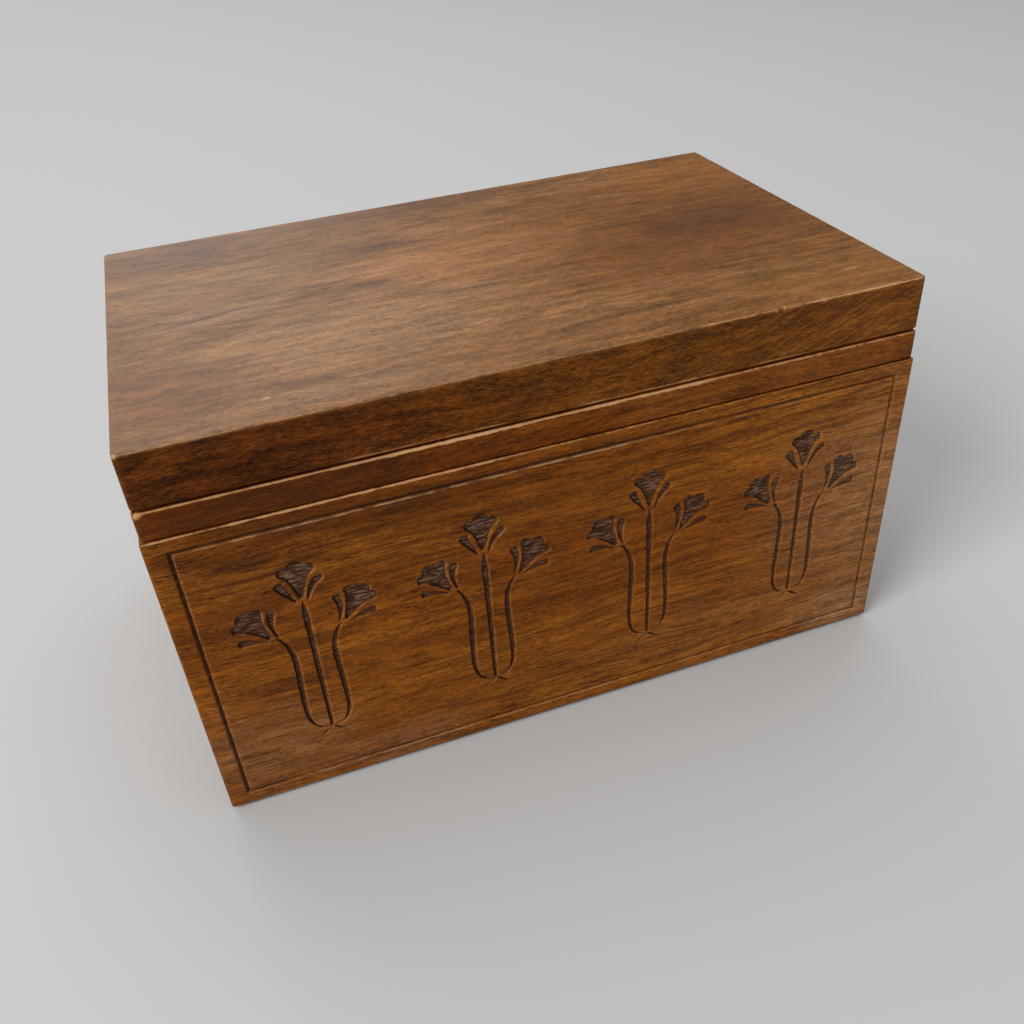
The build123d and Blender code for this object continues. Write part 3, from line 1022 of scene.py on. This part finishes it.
# The body's top rim: wear with a painted highlight, brightest at the left.
FRONT_RIM_WEAR_AND_HIGHLIGHT = (
    (-121, -18, 0.5, 0.15, 0.8, RUBBED_AND_LIT),
    (-20, 30, 0.4, 0.4, 0.6, RUBBED_AND_LIT),
    (28, 121, 0.35, 0.6, 0.35, RUBBED_AND_LIT),
)
FLOOR_DARK = (0.024, 0.010, 0.006, 1.0)
FLOOR_RIDGE = (0.200, 0.116, 0.073, 1.0)
PAINTED_WALL_SHADOW = (0.016, 0.007, 0.003, 1.0)
WORN_LIT_RIM_COLOUR = (0.44, 0.25, 0.12, 1.0)
SIDE_ROOM = Vector((0.35 * MM, 0, 0))
front = begin_wood("carved_front_wood", "X", (0.07, 0, 0), SIDE_WOOD, (0.7, 0.6, 0.65, 0.75, 0.9))
mark_wood(front, front_marks(FRONT_TONE_AND_PAINTED_LIGHT))
wear_wood(front, front_low - SIDE_ROOM, front_high + SIDE_ROOM, 0.45, 0.5)
line_wood(front, (-74.4, 109.6), FRONT_RIM_WEAR_AND_HIGHLIGHT)
worn_lit_rim = attribute(front["place"], "worn_lit_rim")
stain_and_shade = attribute(front["place"], "stain_and_shade")
rim_break = drawn(in_mm(front["place"]), (6.0, 1.3, 1.3), ORIGIN, 3.0)
rim_break = ramp(rim_break, 0.40, 0.58)
worn_lit_rim_mask = times(worn_lit_rim, slope(rim_break, 0.1, 0.7))
floor = place_group(carved_group, {"Place": front["place"], "Face": front_plane})
on_floor = times(ramp(stain_and_shade, 0.72, 0.82), ramp(stain_and_shade, 0.9, 1.15, 1.0, 0.0))
height = axes(front["place"])[2]
calmer = ramp(height, (STEM_TOP - 2.0) * MM, (STEM_TOP + 2.0) * MM, 0.5, 1.0)
ridge_share = times(times(floor["Ridges"], on_floor), calmer)
floor_colour = blend(ridge_share, FLOOR_DARK, FLOOR_RIDGE)
# Where the stain share is deepest, along the steep walls, the colour is a painted shadow.
floor_colour = blend(ramp(stain_and_shade, 0.9, 1.2), floor_colour, PAINTED_WALL_SHADOW)
floor_mask = times(floor["Depth mask"], sums("MINIMUM", stain_and_shade, 1.0))
front["colour"] = blend(floor_mask, front["colour"], floor_colour)
# The pale rims along the cuts are wear and a painted highlight.
front["colour"] = blend(worn_lit_rim_mask, front["colour"], WORN_LIT_RIM_COLOUR)
ridge_height = times(floor["Ridges"], times(floor_mask, 0.9))
front["height"] = sums("ADD", front["height"], ridge_height)
carved_front = as_piece("carved_front", panel, "body", close_wood(front))
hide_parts("front_panel")
print("carved front:", len(carved_front.data.vertices), "points")

# %% [markdown]
# ## The worn front rail
# The thin rail under the top board shows a bright line along its upper front edge, rubbed wood
# with a painted highlight, wide at the left and in the middle, and a broken corner at the far left.
# The imported rail has an even small round there. Here the rail's cross-section is carried from
# end to end and its upper edge is worn more or less deeply on the way.

# %% Front rail
RAIL_LENGTH, RAIL_STEPS = 238.1, 316
END_ROUND, END_ROOM = 0.6, 0.7
ROUND_STEPS = 5
rail_low, rail_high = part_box("lid_front_rail")
rail_left = rail_low.x / MM


def hump(x, centre, half_width):
    """1 at the centre, falling to 0 at the half width."""
    share = min(1.0, abs(x - centre) / half_width)
    return 0.5 + 0.5 * cos(pi * share)


def rail_section(x):
    """Inset from the front and height, in mm, round the rail's section at a place along it."""
    top, foot, back = rail_high.z / MM, rail_low.z / MM, (rail_high.y - rail_low.y) / MM
    turn = max(0.0, END_ROUND - min(x - rail_left, rail_high.x / MM - x))
    pulled = END_ROUND - (END_ROUND * END_ROUND - turn * turn) ** 0.5
    wear = 0.62 + 0.35 * waver(x / 16.0, 3.1, 0.0) + 0.12 * waver(x / 2.2, 8.4, 0.0)
    wear += 0.35 * hump(x, -28.0, 34.0) + 0.3 * hump(x, 30.0, 26.0) + 0.5 * hump(x, -119.0, 7.0)
    wear = max(0.35, wear)
    profile = [(back, foot), (back, top), (wear + 0.5 + pulled, top)]
    for i in range(ROUND_STEPS + 1):
        angle = radians(90.0 * i / ROUND_STEPS)
        profile.append((wear * (1 - sin(angle)) + pulled, top - wear * (1 - cos(angle))))
    profile += [(pulled, (top + foot) / 2), (pulled, foot + 0.35)]
    return profile + [(0.06 + pulled, foot + 0.12), (0.2 + pulled, foot)]


rail = bmesh.new()
ends = [rail_left + d for d in (0.0, 0.04, 0.12, 0.26, 0.45)]
run = RAIL_LENGTH - 2 * END_ROOM
middle = [rail_left + END_ROOM + i * run / RAIL_STEPS for i in range(RAIL_STEPS + 1)]
columns = []
for x in ends + middle + [-x for x in reversed(ends)]:
    column = []
    for inset, z in rail_section(x):
        column.append(rail.verts.new((x * MM, rail_low.y + inset * MM, z * MM)))
    columns.append(column)
for here, following in zip(columns, columns[1:]):
    for i in range(len(here)):
        rail.faces.new((here[i - 1], following[i - 1], following[i], here[i]))
rail.faces.new(columns[-1])
rail.faces.new(list(reversed(columns[0])))
bmesh.ops.recalc_face_normals(rail, faces=rail.faces)
print("rail faces:", len(rail.faces), "open edges:", open_edges(rail))

# %% [markdown]
# The rail is darker at the left and lighter to the right, a painted shade and light. Its rubbed
# edge is a list of stretches of different width, wear with a painted highlight, brightest on
# either side of the middle.

# %% Dress the front rail
# Painted shade at the left of the rail, painted light towards the right.
RAIL_PAINTED_SHADE_AND_LIGHT = (
    (-84, 114, 96, 12, (0.094, 0.022, 0.002), 0.85),
    (36, 114, 22, 12, (0.290, 0.096, 0.012), 0.5),
    (88, 114, 45, 12, (0.270, 0.092, 0.018), 0.4),
)
BROKEN_CORNER = (-118.4, 118.5, 1.9, 1.3, RUBBED_AND_LIT, 0.95)
# Wear with a painted highlight along the rail's upper edge.
RAIL_EDGE_WEAR_AND_HIGHLIGHT = (
    (-121, -62, 0.34, 0.2, 0.8, RUBBED_AND_LIT),
    (-66, -48, 0.46, 0.2, 0.85, RUBBED_AND_LIT),
    (-52, -10, 0.66, 0.1, 0.95, (0.66, 0.36, 0.165, 1.0)),
    (-14, 10, 0.42, 0.2, 0.85, RUBBED_AND_LIT),
    (6, 48, 0.58, 0.15, 0.9, (0.62, 0.34, 0.15, 1.0)),
    (44, 121, 0.34, 0.6, 0.7, RUBBED_AND_LIT),
)
RAIL_AMOUNTS = (0.6, 0.6, 0.45, 0.7, 0.8)
finish = begin_wood("lid_front_rail_wood", "X", (1.71, 0.05, 0.13), RAIL_WOOD, RAIL_AMOUNTS)
finish["colour"] = tint(finish["colour"], finish["texture"], 0.4)
finish["colour"] = tint(finish["colour"], RAIL_SHADE)
mark_wood(finish, front_marks(RAIL_PAINTED_SHADE_AND_LIGHT) + front_marks([BROKEN_CORNER], 3.0))
line_wood(finish, (-73.7, 118.8), RAIL_EDGE_WEAR_AND_HIGHLIGHT)
worn_rail = as_piece("worn_front_rail", rail, "lid", close_wood(finish), 50.0)
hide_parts("lid_front_rail")
print("front rail:", len(worn_rail.data.vertices), "points")

# %% [markdown]
# ## The worn top board
# The thick top board is the first thing a hand meets. Its upper edge is rounded unevenly, small
# chips are missing from its front, and its lower edge has splintered where the tool left the wood.
# A uniform bevel can't do that. Here one cross-section is carried round the board point by point,
# and its rounding, bevel and chips depend on where it is.

# %% Cross-section of the top board
board_low, board_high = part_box("lid_top_board")
# each chip: x, half width, size in mm, share of open wood; each splinter: x, half width, size
CHIPS = (
    (69.0, 2.3, 1.3, 1.0),
    (84.0, 3.0, 0.35, 0.2),
    (75.5, 2.0, 0.3, 0.15),
    (31.0, 1.0, 0.3, 0.15),
)
SPLINTERS = ((-31.0, 9.0, 0.5), (47.5, 7.0, 0.6), (20.0, 9.0, 0.4))


def section(x, y, on_front):
    """Inset, height and open wood of each profile point at a place of the edge, in mm."""
    top, foot = board_high.z / MM, board_low.z / MM
    rough = 0.25 if on_front and x > 55.0 else 0.08
    round_by = 0.6 + 0.18 * waver(x / 9.0, y / 9.0, 1.7)
    round_by = max(0.3, round_by + rough * waver(x / 1.8, y / 1.8, 4.2))
    bevel = 1.35 + 0.14 * waver(x / 12.0, y / 12.0, 6.3)
    fresh_top = fresh_foot = 0.0
    if on_front:
        for centre, half_width, size, open_wood in CHIPS:
            bite = hump(x, centre, half_width) * (0.85 + 0.4 * waver(x / 0.8, 2.2, 0.0))
            round_by += size * bite
            fresh_top = max(fresh_top, open_wood * bite)
        for centre, half_width, size in SPLINTERS:
            bite = hump(x, centre, half_width) * (0.6 + abs(waver(x / 1.1, 7.7, 0.0)))
            bevel += size * bite
            fresh_foot = max(fresh_foot, 0.3 * bite)
    ripple = 0.04 + 0.04 * waver(x / 18.0, y / 18.0, 9.9)
    profile = [(1.55, foot, 0.0), (1.35, foot, 0.0), (ripple, foot + bevel, fresh_foot)]
    profile += [(ripple, foot + bevel + 0.25, 0.0), (ripple, top - round_by - 0.2, 0.0)]
    for i in range(ROUND_STEPS + 1):
        turn = radians(90.0 * i / ROUND_STEPS)
        inset, height = ripple + round_by * (1 - cos(turn)), top - round_by * (1 - sin(turn))
        profile.append((inset, height, fresh_top))
    return profile + [(ripple + round_by + 0.2, top, 0.0)]


print("profile points:", len(section(0.0, 0.0, True)))

# %% [markdown]
# The stations lie close together along the front, where the wear shows, and wider apart on the
# other sides. Each corner turns through three more stations.

# %% Carry the section round the board
CORNER_ROUND = 1.6
FRONT_STEP, SIDE_STEP = 0.7, 1.6


def board_stations():
    """Places round the board: point, outward direction, whether on the front."""
    x0, x1 = board_low.x / MM, board_high.x / MM
    y0, y1 = board_low.y / MM, board_high.y / MM
    stations = []
    sides = (
        ((x0, y0), (x1, y0), (0, -1), FRONT_STEP),
        ((x1, y0), (x1, y1), (1, 0), SIDE_STEP),
        ((x1, y1), (x0, y1), (0, 1), SIDE_STEP),
        ((x0, y1), (x0, y0), (-1, 0), SIDE_STEP),
    )
    for number, (a, b, out, step) in enumerate(sides):
        start, end, facing = Vector(a), Vector(b), Vector(out)
        run = (end - start).normalized()
        first, last = start + run * CORNER_ROUND, end - run * CORNER_ROUND
        count = round((last - first).length / step)
        for i in range(count + 1):
            stations.append((first + (last - first) * i / count, facing, number == 0))
        centre = end - run * CORNER_ROUND - facing * CORNER_ROUND
        for i in range(1, 4):
            angle = radians(90.0 * i / 4)
            direction = facing * cos(angle) + run * sin(angle)
            stations.append((centre + direction * CORNER_ROUND, direction, False))
    return stations


board = bmesh.new()
fresh_layer = board.verts.layers.float.new("fresh")
columns = []
for spot, facing, on_front in board_stations():
    column = []
    for inset, height, fresh in section(spot.x, spot.y, on_front):
        place = spot - facing * inset
        vertex = board.verts.new((place.x * MM, place.y * MM, height * MM))
        vertex[fresh_layer] = fresh
        column.append(vertex)
    columns.append(column)
for here, following in zip(columns, columns[1:] + columns[:1]):
    for i in range(len(here) - 1):
        board.faces.new((here[i], following[i], following[i + 1], here[i + 1]))
board.faces.new([column[-1] for column in columns])
board.faces.new([column[0] for column in reversed(columns)])
print("board faces:", len(board.faces), "open edges:", open_edges(board))

# %% [markdown]
# The top of the lid is the busiest surface: a dark cloud at the right, a pale stretch across the
# middle, small dark spots, and a few bright scratches. Its front edge is much darker and redder
# than the top, a painted shade that lightens towards the right, with slanting streaks at the
# right. Wax shines on the top alone, most at the left.

# %% Marks and edges of the top board
TOP_MARKS = (
    (85, -5, 85, 56, 0, (0.145, 0.045, 0.006), 0.7),
    (84, 0, 30, 16, 0, (0.100, 0.032, 0.010), 0.6),
    (104, 52, 42, 28, 0, (0.260, 0.092, 0.014), 0.7),
    (96, -62, 50, 14, 0, (0.270, 0.110, 0.022), 0.6),
    (-27, 13, 36, 8, 4, (0.420, 0.205, 0.075), 0.75),
    (0, 10, 50, 30, 0, (0.350, 0.150, 0.048), 0.65),
    (-45, -30, 60, 34, 8, (0.370, 0.190, 0.078), 0.6),
    (-42, -41, 28, 8, 0, (0.180, 0.085, 0.034), 0.3),
    (-86, 1, 34, 11, 6, (0.380, 0.205, 0.095), 0.45),
    (0, 39, 30, 9, 0, (0.360, 0.165, 0.070), 0.45),
    (46, -22, 32, 26, 0, (0.185, 0.064, 0.008), 0.35),
    (-80, 28, 46, 12, 4, (0.300, 0.155, 0.055), 0.5),
    (-27, 34, 12, 8, 0, (0.080, 0.034, 0.020), 0.55),
    (-37, 1, 13, 4, 0, (0.080, 0.030, 0.020), 0.55),
    (-104, -44, 34, 26, 6, (0.190, 0.062, 0.022), 0.55),
    (41, 51, 10, 4, 0, (0.100, 0.036, 0.012), 0.6),
    (-88, 0, 22, 1.3, 12, (0.070, 0.026, 0.014), 0.75),
    (-85, -26, 22, 7, 12, (0.340, 0.170, 0.060), 0.6),
    (-58, -64, 40, 6, 0, (0.360, 0.200, 0.090), 0.4),
    (-10, 68, 90, 10, 0, (0.110, 0.048, 0.024), 0.6),
    (-95, 62, 40, 22, 0, (0.130, 0.062, 0.036), 0.6),
    (45, -55, 60, 3, 5, (0.110, 0.045, 0.012), 0.55),
)
# Painted shade at the left of the board's front edge, painted light at its right.
BOARD_FRONT_PAINTED_SHADE_AND_LIGHT = (
    (-70, 127, 110, 16, (0.120, 0.034, 0.003), 0.6),
    (98, 128, 46, 14, (0.330, 0.140, 0.045), 0.7),
)
BRIGHT_SPOTS = (
    (19, -45, 3.2, 0.8, 50, (0.420, 0.260, 0.130), 0.6),
    (-79, -61, 1.6, 0.6, 20, (0.460, 0.280, 0.140), 0.7),
    (-23, -45, 1.4, 0.6, -20, (0.460, 0.280, 0.140), 0.7),
    (103, -58, 5.0, 1.2, 5, (0.420, 0.240, 0.110), 0.7),
)
WORN_TIP = ((-119.0, -73.4, 136.6), (1.5, 1.2, 0.9), 0, RUBBED_AND_LIT, 0.95)
# Upper and lower front edges of the board: wear with a painted highlight.
TOP_EDGE_WEAR_AND_HIGHLIGHT = (
    (-119, 44, 0.3, 0.5, 0.35, RUBBED_AND_LIT),
    (42, 68, 0.32, 0.4, 0.6, RUBBED_AND_LIT),
    (70, 121, 0.36, 0.35, 0.8, RUBBED_AND_LIT),
)
FOOT_EDGE_WEAR_AND_HIGHLIGHT = (
    (-64, -16, 0.4, 0.4, 0.45, RUBBED_AND_LIT),
    (4, 52, 0.45, 0.4, 0.5, RUBBED_AND_LIT),
    (60, 80, 0.4, 0.5, 0.4, RUBBED_AND_LIT),
)
print("marks on the lid:", len(TOP_MARKS) + len(BOARD_FRONT_PAINTED_SHADE_AND_LIGHT) + len(BRIGHT_SPOTS) + 1)

# %% Dress the top board
OPEN_WOOD = (0.160, 0.065, 0.042, 1.0)
PAINTED_SHADE_LEFT, PAINTED_SHADE_RIGHT = (0.56, 0.35, 0.09, 1.0), (0.84, 0.64, 0.23, 1.0)
SLANT_DARK = (0.070, 0.020, 0.004, 1.0)
lid = begin_wood("top_board_wood", "X", (0.5, 0.3, 0.1), LID_WOOD, (0.6, 0.35, 0.2, 0.35, 1.2))
x, _, z = axes(lid["place"])
lid["texture"] = blend(ramp(x, -0.04, 0.05, 0.1, 0.5), lid["texture"], grey(0.9))
mark_wood(lid, top_marks(TOP_MARKS))
mark_wood(lid, front_marks(BOARD_FRONT_PAINTED_SHADE_AND_LIGHT, 3))
mark_wood(lid, top_marks(BRIGHT_SPOTS))
wear_wood(lid, board_low, board_high, 0.4, 0.4)
fresh = attribute(lid["place"], "fresh")
edge_of_bite = times(ramp(fresh, 0.06, 0.2), ramp(fresh, 0.3, 0.5, 0.6, 0.0))
lid["colour"] = blend(edge_of_bite, lid["colour"], RUBBED_AND_LIT)
lid["colour"] = blend(ramp(fresh, 0.4, 0.9, 0.0, 0.8), lid["colour"], OPEN_WOOD)
on_top = ramp(z, board_high.z - 1.2 * MM, board_high.z - 0.1 * MM)
off_top = rest(on_top)
# Below the top face the board gets a painted shade, darkest at the left.
painted_side_shade = blend(ramp(x, -0.10, 0.06), PAINTED_SHADE_LEFT, PAINTED_SHADE_RIGHT)
lid["colour"] = tint(lid["colour"], painted_side_shade, off_top)
lid["colour"] = tint(lid["colour"], lid["texture"], times(off_top, 0.6))
slant = {0: in_mm(lid["place"]), 2: (0.0, radians(20.0), 0.0)}
slanted = drawn(add("Mapping", slant).outputs[0], (9.0, 0.8, 0.8), ORIGIN, 3.0, 0.6)
slanted = times(ramp(slanted, 0.44, 0.62), off_top, ramp(x, 0.02, 0.08, 0.0, 0.7))
lid["colour"] = blend(slanted, lid["colour"], SLANT_DARK)
line_wood(lid, (-73.8, 136.9), TOP_EDGE_WEAR_AND_HIGHLIGHT)
line_wood(lid, (-73.9, 120.4), FOOT_EDGE_WEAR_AND_HIGHLIGHT)
mark_wood(lid, [WORN_TIP])
lid["wax"] = times(on_top, ramp(x, -0.04, 0.06, 0.46, 0.12))
top_board = as_piece("worn_top_board", board, "lid", close_wood(lid), 50.0)
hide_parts("lid_top_board")
print("top board:", len(top_board.data.vertices), "points")

# %% [markdown]
# ## Floor and light
# A large pale sheet carries the box and its soft shadow. It lies a hair below the box, so the two
# never share a plane.

# %% Floor
FLOOR_HALF, FLOOR_DROP = 4.0, 0.00005
CORNERS = ((-1, -1), (1, -1), (1, 1), (-1, 1))
floor_tool = bmesh.new()
places = [(x * FLOOR_HALF, y * FLOOR_HALF, -FLOOR_DROP) for x, y in CORNERS]
floor_tool.faces.new([floor_tool.verts.new(place) for place in places])
floor_mesh = bpy.data.meshes.new("floor")
floor_tool.to_mesh(floor_mesh)
floor_tool.free()
floor_sheet = bpy.data.objects.new("floor", floor_mesh)
bpy.context.scene.collection.objects.link(floor_sheet)
floor_material = bpy.data.materials.new("floor_paper")
floor_material.use_nodes = True
floor_shader = floor_material.node_tree.nodes["Principled BSDF"]
floor_shader.inputs["Base Color"].default_value = (0.56, 0.56, 0.555, 1.0)
floor_shader.inputs["Roughness"].default_value = 0.9
floor_shader.inputs["Specular IOR Level"].default_value = 0.2
floor_mesh.materials.append(floor_material)
print("floor", floor_sheet.dimensions[:])

# %% [markdown]
# The light is that of a room with one big window. The strongest lamp is the window at the upper
# left. A broad lamp under the ceiling lights the top, a third one behind is mirrored in the top as
# its grey sheen, and a weak one at the right lifts the front. An even pale surround fills the rest.

# %% Lamps and surround
BOX_MIDDLE = Vector((0.0, 0.0, 0.06))
LAMPS = {  # name: place in metres, size in metres, power in watts
    "window_light": ((-1.7, -0.85, 1.6), 1.1, 42.0),
    "ceiling_light": ((0.3, 0.75, 2.2), 2.0, 20.0),
    "sheen_light": ((-0.65, 2.6, 1.45), 2.3, 22.0),
    "room_light": ((0.75, -0.95, 0.45), 0.8, 1.5),
}
for name, (place, size, power) in LAMPS.items():
    lamp = bpy.data.objects.new(name, bpy.data.lights.new(name, "AREA"))
    lamp.data.shape = "SQUARE"
    lamp.data.size = size
    lamp.data.energy = power
    lamp.location = place
    lamp.rotation_euler = (BOX_MIDDLE - Vector(place)).to_track_quat("-Z", "Y").to_euler()
    bpy.context.scene.collection.objects.link(lamp)
world = bpy.data.worlds.new("surround")
world.use_nodes = True
bpy.context.scene.world = world
surround = world.node_tree.nodes["Background"]
surround.inputs["Color"].default_value = (0.97, 0.98, 1.0, 1.0)
surround.inputs["Strength"].default_value = 0.25
bpy.context.scene.view_settings.view_transform = "Standard"
print("lamps:", len(LAMPS))
